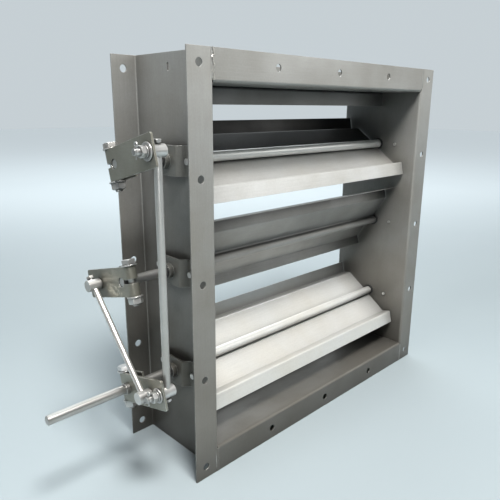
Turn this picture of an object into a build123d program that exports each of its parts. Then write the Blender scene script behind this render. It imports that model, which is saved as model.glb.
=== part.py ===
"""Volume control damper: flanged square duct frame with three opposed
lipped blades, through shafts, clamp cranks outside the left wall and two link rods.

Frame of the part: origin at the centre of the front flange's front face,
+X to the right, +Y to the rear (air direction), +Z up. Millimetres.
"""
import math
import os

from build123d import *

# ------------------------------------------------------------------ dimensions
DUCT = 500.0            # clear width and height
DEPTH = 165.0           # flange face to flange face
SHEET = 2.0             # frame sheet
FLANGE = 40.0           # flange width from the duct's inner face
BEND_R = 3.0            # bend radius on the sheet's mid line
HOLE_R = 5.25           # flange holes
HOLE_OFF = 272.0        # first and last hole from the centre lines
HOLE_PITCH = 136.0

SHAFT_R = 6.35          # half-inch bar
SHAFT_Y = 82.5          # shafts lie in the middle of the depth
PITCH = 460.0 / 3.0     # blade pitch
SHAFT_RIGHT = 277.0
SHAFT_LEFT = -341.2     # ends just inside the crank
DRIVE_LEFT = -457.0     # drive end of the bottom shaft

BLADE_T = 1.2
BLADE_HALF = 247.0      # blade half length
PLATE_A = 53.0          # front sheet: first bend, ridge and tip of its lip
RIDGE_U, RIDGE_H = 64.0, 13.0
TIP_U = 81.0
TIP_SLOPE = 0.9
LAP_U = 20.0            # the front sheet runs this far under the rear one
REAR_A = 55.0           # rear sheet: the same bends on its own lip
REAR_RIDGE_U = 67.0
REAR_TIP_U = 84.0
WRAP_END = 210.0        # angle at which the rear sheet's wrap round the shaft ends
TILT_OUTER = 36.0       # top and bottom blade, front edge down
TILT_MIDDLE = 56.0      # middle blade, front edge up

BUSH_R = 8.4
BUSH_BORE = 6.4
BRACKET_T = 3.0
BRACKET_H = 40.0
BOSS_R = 11.0

STRIP_T = 3.0           # crank strip
STRIP_W = 40.0
ARM_OUT = -342.0        # outer face of the crank's outer leg
FOLD_A = -13.5          # fold axis from the shaft axis, along the arm
FOLD_R = 6.7            # fold mid radius
ARM_LEN = 89.0
LEG_IN = 22.0
SLOT = 5.5
CRANK_TILT = 15.0
PIN_OUTER = 77.0
PIN_INNER = 58.0
PIN_R = 4.0             # studs of the swivels
ROD1_R = 5.0            # vertical rod
ROD2_R = 4.0            # diagonal rod
SET_R = 3.0             # set screws
RUN = 0.05              # radial running clearance

Z_TOP, Z_MID, Z_BOT = PITCH, 0.0, -PITCH

os.makedirs("parts", exist_ok=True)

HALF = DUCT / 2.0
OUT = HALF + FLANGE


# ------------------------------------------------------------------ frame
def side_member(sign):
    """Full-height channel: web beside the duct, two flanges turned outwards."""
    with BuildPart() as member:
        with BuildSketch(Plane.XY.offset(-OUT)):
            with BuildLine() as path:
                FilletPolyline(
                    (sign * OUT, SHEET / 2),
                    (sign * (HALF + SHEET / 2), SHEET / 2),
                    (sign * (HALF + SHEET / 2), DEPTH - SHEET / 2),
                    (sign * OUT, DEPTH - SHEET / 2),
                    radius=BEND_R,
                )
            trace(line_width=SHEET)
        extrude(amount=2 * OUT)
        # flange bolt holes, through both flanges
        with Locations(*[
            Plane(origin=(sign * HOLE_OFF, 0, z), x_dir=(1, 0, 0), z_dir=(0, -1, 0))
            for z in (-HOLE_OFF, -HOLE_PITCH, 0, HOLE_PITCH, HOLE_OFF)
        ]):
            Hole(radius=HOLE_R, depth=DEPTH + 10)
        # bush holes through the web
        with Locations(*[
            Plane(origin=(sign * (HALF + SHEET + 1), SHAFT_Y, z), z_dir=(sign, 0, 0))
            for z in (Z_TOP, Z_MID, Z_BOT)
        ]):
            Hole(radius=BUSH_R, depth=SHEET + 2)
        # bracket screw holes through the web
        with Locations(*[
            Plane(origin=(sign * (HALF + SHEET + 1), SHAFT_Y + dy, z), z_dir=(sign, 0, 0))
            for z in (Z_TOP, Z_MID, Z_BOT) for dy in (-36.5, 36.5)
        ]):
            Hole(radius=3.0, depth=SHEET + 2)
        if sign < 0:
            # small hanging slot near the top of the left web
            with BuildSketch(Plane(origin=(-HALF + 1, 88.0, 272.0), x_dir=(0, 1, 0), z_dir=(-1, 0, 0))):
                SlotOverall(11.0, 4.0, rotation=90)
            extrude(amount=SHEET + 2, mode=Mode.SUBTRACT)
    return member


def cross_member(sign):
    """Top or bottom channel, butting between the side members."""
    with BuildPart() as member:
        with BuildSketch(Plane(origin=(-HALF, 0, 0), x_dir=(0, 1, 0), z_dir=(1, 0, 0))):
            with BuildLine() as path:
                FilletPolyline(
                    (SHEET / 2, sign * OUT),
                    (SHEET / 2, sign * (HALF + SHEET / 2)),
                    (DEPTH - SHEET / 2, sign * (HALF + SHEET / 2)),
                    (DEPTH - SHEET / 2, sign * OUT),
                    radius=BEND_R,
                )
            trace(line_width=SHEET)
        extrude(amount=DUCT)
        with Locations(*[
            Plane(origin=(x, 0, sign * HOLE_OFF), x_dir=(1, 0, 0), z_dir=(0, -1, 0))
            for x in (-HOLE_PITCH, 0, HOLE_PITCH)
        ]):
            Hole(radius=HOLE_R, depth=DEPTH + 10)
    return member


frame_side_left = side_member(-1)
frame_side_right = side_member(1)
frame_top = cross_member(1)
frame_bottom = cross_member(-1)

# weld beads, ground flush, that fill the butt seams, front and rear
WELD_Z0 = HALF + SHEET + 2.5
with BuildPart() as corner_welds:
    for sx in (-1, 1):
        for rear in (0, 1):
            def pt(x, y):
                return (sx * x, DEPTH - y if rear else y)
            for sz in (-1, 1):
                with BuildSketch(Plane.XY.offset(WELD_Z0 if sz > 0 else -OUT)):
                    with BuildLine():
                        Line(pt(HALF, 4.0), pt(HALF, 0.0))
                        Line(pt(HALF, 0.0), pt(HALF + 4.0, 0.0))
                        ThreePointArc(
                            pt(HALF + 4.0, 0.0),
                            pt(HALF + 4.0 - 4.0 * math.cos(math.pi / 4), 4.0 - 4.0 * math.sin(math.pi / 4)),
                            pt(HALF, 4.0),
                        )
                    make_face()
                extrude(amount=OUT - WELD_Z0)

# angle stops that the outer blades close against
with BuildPart() as blade_stop_top:
    with BuildSketch(Plane(origin=(-HALF + 0.5, 0, 0), x_dir=(0, 1, 0), z_dir=(1, 0, 0))):
        with BuildLine():
            FilletPolyline((81.2, 225.0), (81.2, HALF - 1.0), (102.0, HALF - 1.0), radius=3.0)
        trace(line_width=2.0)
    extrude(amount=DUCT - 1.0)
with BuildPart() as blade_stop_bottom:
    with BuildSketch(Plane(origin=(-HALF + 0.5, 0, 0), x_dir=(0, 1, 0), z_dir=(1, 0, 0))):
        with BuildLine():
            FilletPolyline((96.0, -225.0), (96.0, -HALF + 1.5), (116.0, -HALF + 1.5), radius=3.0)
        trace(line_width=3.0)
    extrude(amount=DUCT - 1.0)


# ------------------------------------------------------------------ bearings
def bracket(sign, z):
    """Hat strap over the shaft with a boss for the bush."""
    foot = HALF + SHEET + BRACKET_T / 2
    crown = 265.0 - BRACKET_T / 2
    with BuildPart() as strap:
        with BuildSketch(Plane.XY.offset(z - BRACKET_H / 2)):
            with BuildLine():
                FilletPolyline(
                    (sign * foot, SHAFT_Y - 46.0),
                    (sign * foot, SHAFT_Y - 28.0),
                    (sign * crown, SHAFT_Y - 20.5),
                    (sign * crown, SHAFT_Y + 20.5),
                    (sign * foot, SHAFT_Y + 28.0),
                    (sign * foot, SHAFT_Y + 46.0),
                    radius=2.5,
                )
            trace(line_width=BRACKET_T)
        extrude(amount=BRACKET_H)
        with BuildSketch(Plane(origin=(sign * 264.0, SHAFT_Y, z), z_dir=(sign, 0, 0))):
            Circle(BOSS_R)
        extrude(amount=8.0)
        with Locations(Plane(origin=(sign * 273.0, SHAFT_Y, z), z_dir=(sign, 0, 0))):
            Hole(radius=BUSH_R, depth=16.0)
        with Locations(*[
            Plane(origin=(sign * 260.0, SHAFT_Y + dy, z), z_dir=(sign, 0, 0)) for dy in (-36.5, 36.5)
        ]):
            Hole(radius=3.0, depth=10.0)
    return strap


def bushes(sign):
    """Three flanged plain bushes that carry the shafts in one wall."""
    with BuildPart() as group:
        for z in (Z_TOP, Z_MID, Z_BOT):
            with BuildSketch(Plane(origin=(sign * 248.6, SHAFT_Y, z), z_dir=(sign, 0, 0))):
                Circle(BUSH_R)
            extrude(amount=25.4)
            with BuildSketch(Plane(origin=(sign * 248.6, SHAFT_Y, z), z_dir=(sign, 0, 0))):
                Circle(BUSH_R + 2.0)
            extrude(amount=1.4)
            with BuildSketch(Plane(origin=(sign * 248.6, SHAFT_Y, z), z_dir=(sign, 0, 0))):
                Circle(BUSH_BORE)
            extrude(amount=25.4, mode=Mode.SUBTRACT)
    return group


def bracket_screws(sign):
    """Two hex head screws through each bracket's feet."""
    with BuildPart() as group:
        for z in (Z_TOP, Z_MID, Z_BOT):
            for dy in (-36.5, 36.5):
                with BuildSketch(Plane(origin=(sign * 255.0, SHAFT_Y + dy, z), z_dir=(sign, 0, 0))):
                    Circle(4.8)
                extrude(amount=0.8)
                with BuildSketch(Plane(origin=(sign * 255.8, SHAFT_Y + dy, z), z_dir=(sign, 0, 0))):
                    RegularPolygon(4.0, 6, major_radius=False)
                extrude(amount=3.2)
                with BuildSketch(Plane(origin=(sign * 247.9, SHAFT_Y + dy, z), z_dir=(sign, 0, 0))):
                    Circle(3.0)
                extrude(amount=8.0)
    return group


bearing_bracket_left_top = bracket(-1, Z_TOP)
bearing_bracket_left_middle = bracket(-1, Z_MID)
bearing_bracket_left_bottom = bracket(-1, Z_BOT)
bearing_bracket_right_top = bracket(1, Z_TOP)
bearing_bracket_right_middle = bracket(1, Z_MID)
bearing_bracket_right_bottom = bracket(1, Z_BOT)
bearing_bushes_left = bushes(-1)
bearing_bushes_right = bushes(1)
bracket_screws_left = bracket_screws(-1)
bracket_screws_right = bracket_screws(1)


# ------------------------------------------------------------------ blades
def blade_dir(kind):
    """Direction of the blade's width axis in the Y-Z plane."""
    if kind == "outer":
        t = math.radians(TILT_OUTER)
        return (0.0, math.cos(t), math.sin(t))
    t = math.radians(TILT_MIDDLE)
    return (0.0, -math.cos(t), math.sin(t))


PLATE_V = -(SHAFT_R + BLADE_T / 2)
TIP_H = RIDGE_H - TIP_SLOPE * (TIP_U - RIDGE_U)


def blade_plane(kind, x, z):
    """Blade section plane: local x across the blade, local y towards its shaft side."""
    return Plane(origin=(x, SHAFT_Y, z), x_dir=blade_dir(kind), z_dir=(1, 0, 0))


def blade_sheet(kind, z):
    """Front sheet: flat plate under the shaft, with the folded front lip."""
    with BuildPart() as sheet:
        with BuildSketch(blade_plane(kind, -BLADE_HALF, z)):
            with BuildLine():
                FilletPolyline(
                    (-TIP_U, PLATE_V + TIP_H),
                    (-RIDGE_U, PLATE_V + RIDGE_H),
                    (-PLATE_A, PLATE_V),
                    (LAP_U, PLATE_V),
                    radius=1.8,
                )
            trace(line_width=BLADE_T)
        extrude(amount=2 * BLADE_HALF)
    return sheet


def blade_wrap(kind, z):
    """Rear sheet: wraps over the shaft, laps the front sheet and ends in the rear lip."""
    r_mid = SHAFT_R + BLADE_T / 2
    r_in = 3.0
    v = PLATE_V + BLADE_T
    cu = math.sqrt((r_mid + r_in) ** 2 - (v + r_in) ** 2)
    lean = math.atan2(v + r_in, cu)
    end = math.radians(WRAP_END)
    top = (end + lean) / 2
    turn = (lean + math.pi + 1.5 * math.pi) / 2
    with BuildPart() as sheet:
        with BuildSketch(blade_plane(kind, -BLADE_HALF, z)):
            with BuildLine():
                ThreePointArc(
                    (r_mid * math.cos(end), r_mid * math.sin(end)),
                    (r_mid * math.cos(top), r_mid * math.sin(top)),
                    (r_mid * math.cos(lean), r_mid * math.sin(lean)),
                )
                ThreePointArc(
                    (r_mid * math.cos(lean), r_mid * math.sin(lean)),
                    (cu + r_in * math.cos(turn), v + r_in + r_in * math.sin(turn)),
                    (cu, v),
                )
                FilletPolyline(
                    (cu, v),
                    (REAR_A, v),
                    (REAR_RIDGE_U, v - RIDGE_H - 0.25),
                    (REAR_TIP_U, v - RIDGE_H - 0.25 + REAR_TIP_U - REAR_RIDGE_U),
                    radius=1.8,
                )
            trace(line_width=BLADE_T)
        extrude(amount=2 * BLADE_HALF)
    return sheet


def blade_welds(kind, z):
    """Plug welds on the far side: shaft to front sheet, and front sheet to rear sheet."""
    with BuildPart() as beads:
        back = Vector(*blade_dir(kind)).cross(Vector(1, 0, 0))
        if back.dot(blade_plane(kind, 0, z).y_dir) > 0:
            back = back * -1
        for u, places in ((0.0, (-190.0, -65.0, 65.0, 190.0)), (14.5, (-225.0, -127.0, 0.0, 127.0, 225.0))):
            for x in places:
                at = Vector(x, SHAFT_Y, z) + Vector(*blade_dir(kind)) * u + back * (SHAFT_R + BLADE_T)
                with BuildSketch(Plane(origin=at, x_dir=(1, 0, 0), z_dir=back)):
                    Circle(3.5 if u == 0.0 else 2.5)
                extrude(amount=0.8 if u == 0.0 else 0.4)
    return beads


def shaft(z, left, groove=None):
    """Through shaft; the drive shaft has a shallow relief groove beside its collar."""
    with BuildPart() as rod:
        with BuildSketch(Plane(origin=(left, SHAFT_Y, z), z_dir=(1, 0, 0))):
            Circle(SHAFT_R)
        extrude(amount=SHAFT_RIGHT - left)
        chamfer(rod.edges().filter_by(GeomType.CIRCLE), length=1.0)
        if groove is not None:
            with BuildSketch(Plane(origin=(groove, SHAFT_Y, z), z_dir=(1, 0, 0))):
                Circle(SHAFT_R + 1.0)
                Circle(SHAFT_R - 0.4, mode=Mode.SUBTRACT)
            extrude(amount=1.0, mode=Mode.SUBTRACT)
    return rod


blade_top = blade_sheet("outer", Z_TOP)
blade_middle = blade_sheet("middle", Z_MID)
blade_bottom = blade_sheet("outer", Z_BOT)
blade_wrap_top = blade_wrap("outer", Z_TOP)
blade_wrap_middle = blade_wrap("middle", Z_MID)
blade_wrap_bottom = blade_wrap("outer", Z_BOT)
blade_welds_top = blade_welds("outer", Z_TOP)
blade_welds_middle = blade_welds("middle", Z_MID)
blade_welds_bottom = blade_welds("outer", Z_BOT)
shaft_top = shaft(Z_TOP, SHAFT_LEFT)
shaft_middle = shaft(Z_MID, SHAFT_LEFT)
shaft_drive = shaft(Z_BOT, DRIVE_LEFT, groove=ARM_OUT - 6.6)

with BuildPart() as drive_collar:
    with BuildSketch(Plane(origin=(ARM_OUT, SHAFT_Y, Z_BOT), z_dir=(-1, 0, 0))):
        Circle(SHAFT_R + 1.6)
        Circle(SHAFT_R, mode=Mode.SUBTRACT)
    extrude(amount=6.0)
    fillet(drive_collar.faces().sort_by(Axis.X)[0].outer_wire().edges(), radius=1.2)


# ------------------------------------------------------------------ cranks
def arm_dir(facing):
    """Unit vector along a crank's arm; facing is -1 for front, +1 for rear."""
    t = math.radians(CRANK_TILT)
    return (0.0, facing * math.cos(t), -facing * math.sin(t))


def arm_up(facing):
    """Unit vector across the strip, upwards."""
    t = math.radians(CRANK_TILT)
    return (0.0, math.sin(t), math.cos(t)) if facing > 0 else (0.0, math.sin(t), math.cos(t))


MID_OUT = ARM_OUT + STRIP_T / 2
FOLD_X = MID_OUT + FOLD_R
MID_IN = FOLD_X + FOLD_R


def strip_plane(facing, z, across):
    """Plane across the strip: local x along the arm, local y along the shaft's +X."""
    a = Vector(*arm_dir(facing))
    normal = a.cross(Vector(1, 0, 0))
    up = Vector(*arm_up(facing))
    side = 1.0 if normal.dot(up) > 0 else -1.0
    origin = Vector(0, SHAFT_Y, z) + normal * (side * across)
    return Plane(origin=origin, x_dir=a, z_dir=normal), side


def crank(facing, z, pin_holes):
    """Strip folded round the clamp bolt, slotted through its fold."""
    plane, side = strip_plane(facing, z, -STRIP_W / 2)
    if side < 0:
        plane, side = strip_plane(facing, z, STRIP_W / 2)
    with BuildPart() as lever:
        with BuildSketch(plane):
            with BuildLine():
                Line((ARM_LEN, MID_OUT), (FOLD_A, MID_OUT))
                ThreePointArc((FOLD_A, MID_OUT), (FOLD_A - FOLD_R, FOLD_X), (FOLD_A, MID_IN))
                Line((FOLD_A, MID_IN), (LEG_IN, MID_IN))
            trace(line_width=STRIP_T)
        extrude(amount=STRIP_W)
        ends = lever.edges().filter_by(Axis.X).group_by(
            lambda e: round(Vector(*arm_dir(facing)).dot(e.center() - Vector(0, SHAFT_Y, z)), 1))
        fillet(ends[-1], radius=3.0)
        # shaft holes and the clamp slot
        face_out = Plane(origin=(ARM_OUT - 1, SHAFT_Y, z), x_dir=arm_dir(facing), z_dir=(-1, 0, 0))
        with BuildSketch(face_out):
            Circle(SHAFT_R)
            with Locations((FOLD_A - 6.0, 0)):
                Rectangle(2 * abs(FOLD_A) - 1.0, SLOT)
            for r, hole in pin_holes:
                with Locations((r, 0)):
                    Circle(hole)
        extrude(amount=-24.0, mode=Mode.SUBTRACT)
    return lever


def clamp_bolt(facing, z):
    """Hex bolt lying in the fold, across the strip."""
    plane, _ = strip_plane(facing, z, 0.0)
    up = Vector(*arm_up(facing))
    base = Vector(FOLD_X, SHAFT_Y, z) + Vector(*arm_dir(facing)) * FOLD_A
    with BuildPart() as bolt:
        with BuildSketch(Plane(origin=base + up * 22.0, x_dir=(1, 0, 0), z_dir=up)):
            RegularPolygon(8.5, 6, major_radius=False)
        extrude(amount=6.6)
        chamfer(bolt.faces().sort_by(Axis.Z)[-1].outer_wire().edges(), length=0.7)
        with BuildSketch(Plane(origin=base + up * 22.0, x_dir=(1, 0, 0), z_dir=up)):
            Circle(5.0)
        extrude(amount=-55.0)
    return bolt


def clamp_washers(facing, z):
    up = Vector(*arm_up(facing))
    base = Vector(FOLD_X, SHAFT_Y, z) + Vector(*arm_dir(facing)) * FOLD_A
    with BuildPart() as pair:
        for s in (-1, 1):
            with BuildSketch(Plane(origin=base + up * (s * 20.0), x_dir=(1, 0, 0), z_dir=up * s)):
                Circle(10.5)
                Circle(5.0, mode=Mode.SUBTRACT)
            extrude(amount=2.0)
    return pair


def clamp_nut(facing, z):
    up = Vector(*arm_up(facing))
    base = Vector(FOLD_X, SHAFT_Y, z) + Vector(*arm_dir(facing)) * FOLD_A
    with BuildPart() as nut:
        with BuildSketch(Plane(origin=base - up * 22.0, x_dir=(1, 0, 0), z_dir=up * -1)):
            RegularPolygon(8.5, 6, major_radius=False)
            Circle(5.0, mode=Mode.SUBTRACT)
        extrude(amount=8.0)
    return nut


lever_top = crank(-1, Z_TOP, [(PIN_OUTER, PIN_R + RUN)])
lever_middle = crank(1, Z_MID, [(PIN_INNER, PIN_R)])
lever_bottom = crank(-1, Z_BOT, [(PIN_OUTER, PIN_R + RUN), (PIN_INNER, PIN_R + RUN)])
clamp_bolt_top = clamp_bolt(-1, Z_TOP)
clamp_bolt_middle = clamp_bolt(1, Z_MID)
clamp_bolt_bottom = clamp_bolt(-1, Z_BOT)
clamp_washers_top = clamp_washers(-1, Z_TOP)
clamp_washers_middle = clamp_washers(1, Z_MID)
clamp_washers_bottom = clamp_washers(-1, Z_BOT)
clamp_nut_top = clamp_nut(-1, Z_TOP)
clamp_nut_middle = clamp_nut(1, Z_MID)
clamp_nut_bottom = clamp_nut(-1, Z_BOT)


# ------------------------------------------------------------------ linkage
def pin_point(facing, z, r):
    a = arm_dir(facing)
    return Vector(0, SHAFT_Y + a[1] * r, z + a[2] * r)


PIN_TOP = pin_point(-1, Z_TOP, PIN_OUTER)
PIN_BOT = pin_point(-1, Z_BOT, PIN_OUTER)
PIN_MID = pin_point(1, Z_MID, PIN_INNER)
PIN_BOT_IN = pin_point(-1, Z_BOT, PIN_INNER)

ARM_IN = ARM_OUT + STRIP_T
ROD1_X = -328.5         # vertical rod, frame side of the cranks
ROD2_X = -352.6         # diagonal rod, outer side of the cranks
BARREL_R = 8.0


def at_x(point, x):
    return Vector(x, point.Y, point.Z)


# --- vertical rod: top crank to bottom crank
ROD1_DIR = (PIN_TOP - PIN_BOT).normalized()
with BuildPart() as link_rod_vertical:
    with BuildSketch(Plane(origin=at_x(PIN_BOT, ROD1_X) - ROD1_DIR * 3.0, x_dir=(1, 0, 0), z_dir=ROD1_DIR)):
        Circle(ROD1_R)
    extrude(amount=(PIN_TOP - PIN_BOT).length + 6.0)

with BuildPart() as rod_swivels_vertical:
    for p in (PIN_TOP, PIN_BOT):
        with BuildSketch(Plane(origin=at_x(p, -319.5), z_dir=(-1, 0, 0))):
            Circle(BARREL_R)
        extrude(amount=18.0)
        with BuildSketch(Plane(origin=at_x(p, -337.5), z_dir=(-1, 0, 0))):
            Circle(7.0)
        extrude(amount=1.3)
        with BuildSketch(Plane(origin=at_x(p, -338.8), z_dir=(-1, 0, 0))):
            Circle(PIN_R)
        extrude(amount=21.2)
    # cross bores for the rod, its set screws and the split pins
    with BuildSketch(Plane(origin=at_x(PIN_BOT, ROD1_X) - ROD1_DIR * 3.0, x_dir=(1, 0, 0), z_dir=ROD1_DIR)):
        Circle(ROD1_R)
    extrude(amount=(PIN_TOP - PIN_BOT).length + 6.0, mode=Mode.SUBTRACT)
    with BuildSketch(Plane(origin=at_x(PIN_BOT, ROD1_X) - ROD1_DIR * 20.0, x_dir=(1, 0, 0), z_dir=ROD1_DIR)):
        Circle(SET_R)
    extrude(amount=(PIN_TOP - PIN_BOT).length + 40.0, mode=Mode.SUBTRACT)
    with BuildSketch(Plane(origin=at_x(PIN_BOT, -356.6) - ROD1_DIR * 20.0, x_dir=(1, 0, 0), z_dir=ROD1_DIR)):
        Circle(0.9)
    extrude(amount=(PIN_TOP - PIN_BOT).length + 40.0, mode=Mode.SUBTRACT)

with BuildPart() as rod_set_screws_vertical:
    for p, s in ((PIN_TOP, 1), (PIN_BOT, -1)):
        with BuildSketch(Plane(origin=at_x(p, ROD1_X) + ROD1_DIR * (s * 3.0), x_dir=(1, 0, 0), z_dir=ROD1_DIR * s)):
            Circle(SET_R)
        extrude(amount=6.5)
        with BuildSketch(Plane(origin=at_x(p, ROD1_X) + ROD1_DIR * (s * 9.5), x_dir=(1, 0, 0), z_dir=ROD1_DIR * s)):
            RegularPolygon(4.6, 6, major_radius=False)
        extrude(amount=3.8)

with BuildPart() as rod_washers_vertical:
    for p, r in ((PIN_TOP, 11.0), (PIN_BOT, 10.0)):
        with BuildSketch(Plane(origin=at_x(p, ARM_OUT - 0.2), z_dir=(-1, 0, 0))):
            Circle(r)
            Circle(PIN_R, mode=Mode.SUBTRACT)
        extrude(amount=1.8)
        # split spring washer
        with BuildSketch(Plane(origin=at_x(p, ARM_OUT - 2.3), z_dir=(-1, 0, 0))):
            Circle(7.2)
            Circle(PIN_R + 0.1, mode=Mode.SUBTRACT)
            with Locations((0, 5.7)):
                Rectangle(1.2, 5.0, rotation=20, mode=Mode.SUBTRACT)
        extrude(amount=2.0)

with BuildPart() as rod_nuts_vertical:
    for p in (PIN_TOP, PIN_BOT):
        with BuildSketch(Plane(origin=at_x(p, ARM_OUT - 4.3), z_dir=(-1, 0, 0))):
            RegularPolygon(6.5, 6, major_radius=False, rotation=12)
            Circle(PIN_R, mode=Mode.SUBTRACT)
        extrude(amount=6.5)

with BuildPart() as split_pins_vertical:
    for p in (PIN_TOP, PIN_BOT):
        base = at_x(p, -356.6)
        with BuildSketch(Plane(origin=base - Vector(0, 0, 8.5), z_dir=(0, 0, 1))):
            Circle(0.8)
        extrude(amount=14.0)
        with Locations(Plane(origin=base + Vector(0, 0, 8.3), x_dir=(0, 1, 0), z_dir=(1, 0, 0))):
            Torus(2.3, 0.9)

# --- diagonal rod: middle crank to bottom crank
ROD2_DIR = (PIN_MID - PIN_BOT_IN).normalized()
ROD2_LEN = (PIN_MID - PIN_BOT_IN).length
with BuildPart() as link_rod_diagonal:
    with BuildSketch(Plane(origin=at_x(PIN_BOT_IN, ROD2_X) - ROD2_DIR * 3.0, x_dir=(1, 0, 0), z_dir=ROD2_DIR)):
        Circle(ROD2_R)
    extrude(amount=ROD2_LEN + 6.0)

with BuildPart() as rod_swivels_diagonal:
    # both barrels with a shoulder towards the crank; only the lower one has a stud
    for p in (PIN_MID, PIN_BOT_IN):
        with BuildSketch(Plane(origin=at_x(p, -361.6), z_dir=(1, 0, 0))):
            Circle(BARREL_R)
        extrude(amount=18.0)
        with BuildSketch(Plane(origin=at_x(p, -343.6), z_dir=(1, 0, 0))):
            Circle(7.0)
        extrude(amount=1.3)
    with BuildSketch(Plane(origin=at_x(PIN_BOT_IN, ARM_OUT - 0.3), z_dir=(1, 0, 0))):
        Circle(PIN_R)
    extrude(amount=5.8)
    with BuildSketch(Plane(origin=at_x(PIN_BOT_IN, ROD2_X) - ROD2_DIR * 3.0, x_dir=(1, 0, 0), z_dir=ROD2_DIR)):
        Circle(ROD2_R)
    extrude(amount=ROD2_LEN + 6.0, mode=Mode.SUBTRACT)
    with BuildSketch(Plane(origin=at_x(PIN_BOT_IN, ROD2_X) - ROD2_DIR * 20.0, x_dir=(1, 0, 0), z_dir=ROD2_DIR)):
        Circle(SET_R)
    extrude(amount=ROD2_LEN + 40.0, mode=Mode.SUBTRACT)

with BuildPart() as rod_set_screws_diagonal:
    for p, s, head in ((PIN_MID, 1, 3.8), (PIN_BOT_IN, -1, 0.0)):
        with BuildSketch(Plane(origin=at_x(p, ROD2_X) + ROD2_DIR * (s * 3.0), x_dir=(1, 0, 0), z_dir=ROD2_DIR * s)):
            Circle(SET_R)
        extrude(amount=6.5)
        if head:
            with BuildSketch(Plane(origin=at_x(p, ROD2_X) + ROD2_DIR * (s * 9.5), x_dir=(1, 0, 0), z_dir=ROD2_DIR * s)):
                RegularPolygon(4.6, 6, major_radius=False)
            extrude(amount=head)

with BuildPart() as rod_clip_diagonal:
    with BuildSketch(Plane(origin=at_x(PIN_BOT_IN, ARM_IN + 0.2), z_dir=(1, 0, 0))):
        Circle(8.0)
        Circle(PIN_R, mode=Mode.SUBTRACT)
    extrude(amount=1.1)

# --- pivot pin of the middle crank, headed on the frame side
with BuildPart() as crank_pin_middle:
    with BuildSketch(Plane(origin=at_x(PIN_MID, ARM_OUT), z_dir=(1, 0, 0))):
        Circle(PIN_R)
    extrude(amount=STRIP_T)
    with BuildSketch(Plane(origin=at_x(PIN_MID, ARM_IN), z_dir=(1, 0, 0))):
        Circle(7.5)
    extrude(amount=3.5)
    chamfer(crank_pin_middle.faces().sort_by(Axis.X)[-1].outer_wire().edges(), length=1.2)

# ------------------------------------------------------------------ export
frame_side_left.part.label = "frame_side_left"
export_step(frame_side_left.part, "parts/frame_side_left.step")
frame_side_right.part.label = "frame_side_right"
export_step(frame_side_right.part, "parts/frame_side_right.step")
frame_top.part.label = "frame_top"
export_step(frame_top.part, "parts/frame_top.step")
frame_bottom.part.label = "frame_bottom"
export_step(frame_bottom.part, "parts/frame_bottom.step")
corner_welds.part.label = "corner_welds"
export_step(corner_welds.part, "parts/corner_welds.step")
blade_stop_top.part.label = "blade_stop_top"
export_step(blade_stop_top.part, "parts/blade_stop_top.step")
blade_stop_bottom.part.label = "blade_stop_bottom"
export_step(blade_stop_bottom.part, "parts/blade_stop_bottom.step")
bearing_bracket_left_top.part.label = "bearing_bracket_left_top"
export_step(bearing_bracket_left_top.part, "parts/bearing_bracket_left_top.step")
bearing_bracket_left_middle.part.label = "bearing_bracket_left_middle"
export_step(bearing_bracket_left_middle.part, "parts/bearing_bracket_left_middle.step")
bearing_bracket_left_bottom.part.label = "bearing_bracket_left_bottom"
export_step(bearing_bracket_left_bottom.part, "parts/bearing_bracket_left_bottom.step")
bearing_bracket_right_top.part.label = "bearing_bracket_right_top"
export_step(bearing_bracket_right_top.part, "parts/bearing_bracket_right_top.step")
bearing_bracket_right_middle.part.label = "bearing_bracket_right_middle"
export_step(bearing_bracket_right_middle.part, "parts/bearing_bracket_right_middle.step")
bearing_bracket_right_bottom.part.label = "bearing_bracket_right_bottom"
export_step(bearing_bracket_right_bottom.part, "parts/bearing_bracket_right_bottom.step")
bearing_bushes_left.part.label = "bearing_bushes_left"
export_step(bearing_bushes_left.part, "parts/bearing_bushes_left.step")
bearing_bushes_right.part.label = "bearing_bushes_right"
export_step(bearing_bushes_right.part, "parts/bearing_bushes_right.step")
bracket_screws_left.part.label = "bracket_screws_left"
export_step(bracket_screws_left.part, "parts/bracket_screws_left.step")
bracket_screws_right.part.label = "bracket_screws_right"
export_step(bracket_screws_right.part, "parts/bracket_screws_right.step")
blade_top.part.label = "blade_top"
export_step(blade_top.part, "parts/blade_top.step")
blade_middle.part.label = "blade_middle"
export_step(blade_middle.part, "parts/blade_middle.step")
blade_bottom.part.label = "blade_bottom"
export_step(blade_bottom.part, "parts/blade_bottom.step")
blade_wrap_top.part.label = "blade_wrap_top"
export_step(blade_wrap_top.part, "parts/blade_wrap_top.step")
blade_wrap_middle.part.label = "blade_wrap_middle"
export_step(blade_wrap_middle.part, "parts/blade_wrap_middle.step")
blade_wrap_bottom.part.label = "blade_wrap_bottom"
export_step(blade_wrap_bottom.part, "parts/blade_wrap_bottom.step")
blade_welds_top.part.label = "blade_welds_top"
export_step(blade_welds_top.part, "parts/blade_welds_top.step")
blade_welds_middle.part.label = "blade_welds_middle"
export_step(blade_welds_middle.part, "parts/blade_welds_middle.step")
blade_welds_bottom.part.label = "blade_welds_bottom"
export_step(blade_welds_bottom.part, "parts/blade_welds_bottom.step")
shaft_top.part.label = "shaft_top"
export_step(shaft_top.part, "parts/shaft_top.step")
shaft_middle.part.label = "shaft_middle"
export_step(shaft_middle.part, "parts/shaft_middle.step")
shaft_drive.part.label = "shaft_drive"
export_step(shaft_drive.part, "parts/shaft_drive.step")
drive_collar.part.label = "drive_collar"
export_step(drive_collar.part, "parts/drive_collar.step")
lever_top.part.label = "lever_top"
export_step(lever_top.part, "parts/lever_top.step")
lever_middle.part.label = "lever_middle"
export_step(lever_middle.part, "parts/lever_middle.step")
lever_bottom.part.label = "lever_bottom"
export_step(lever_bottom.part, "parts/lever_bottom.step")
clamp_bolt_top.part.label = "clamp_bolt_top"
export_step(clamp_bolt_top.part, "parts/clamp_bolt_top.step")
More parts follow.
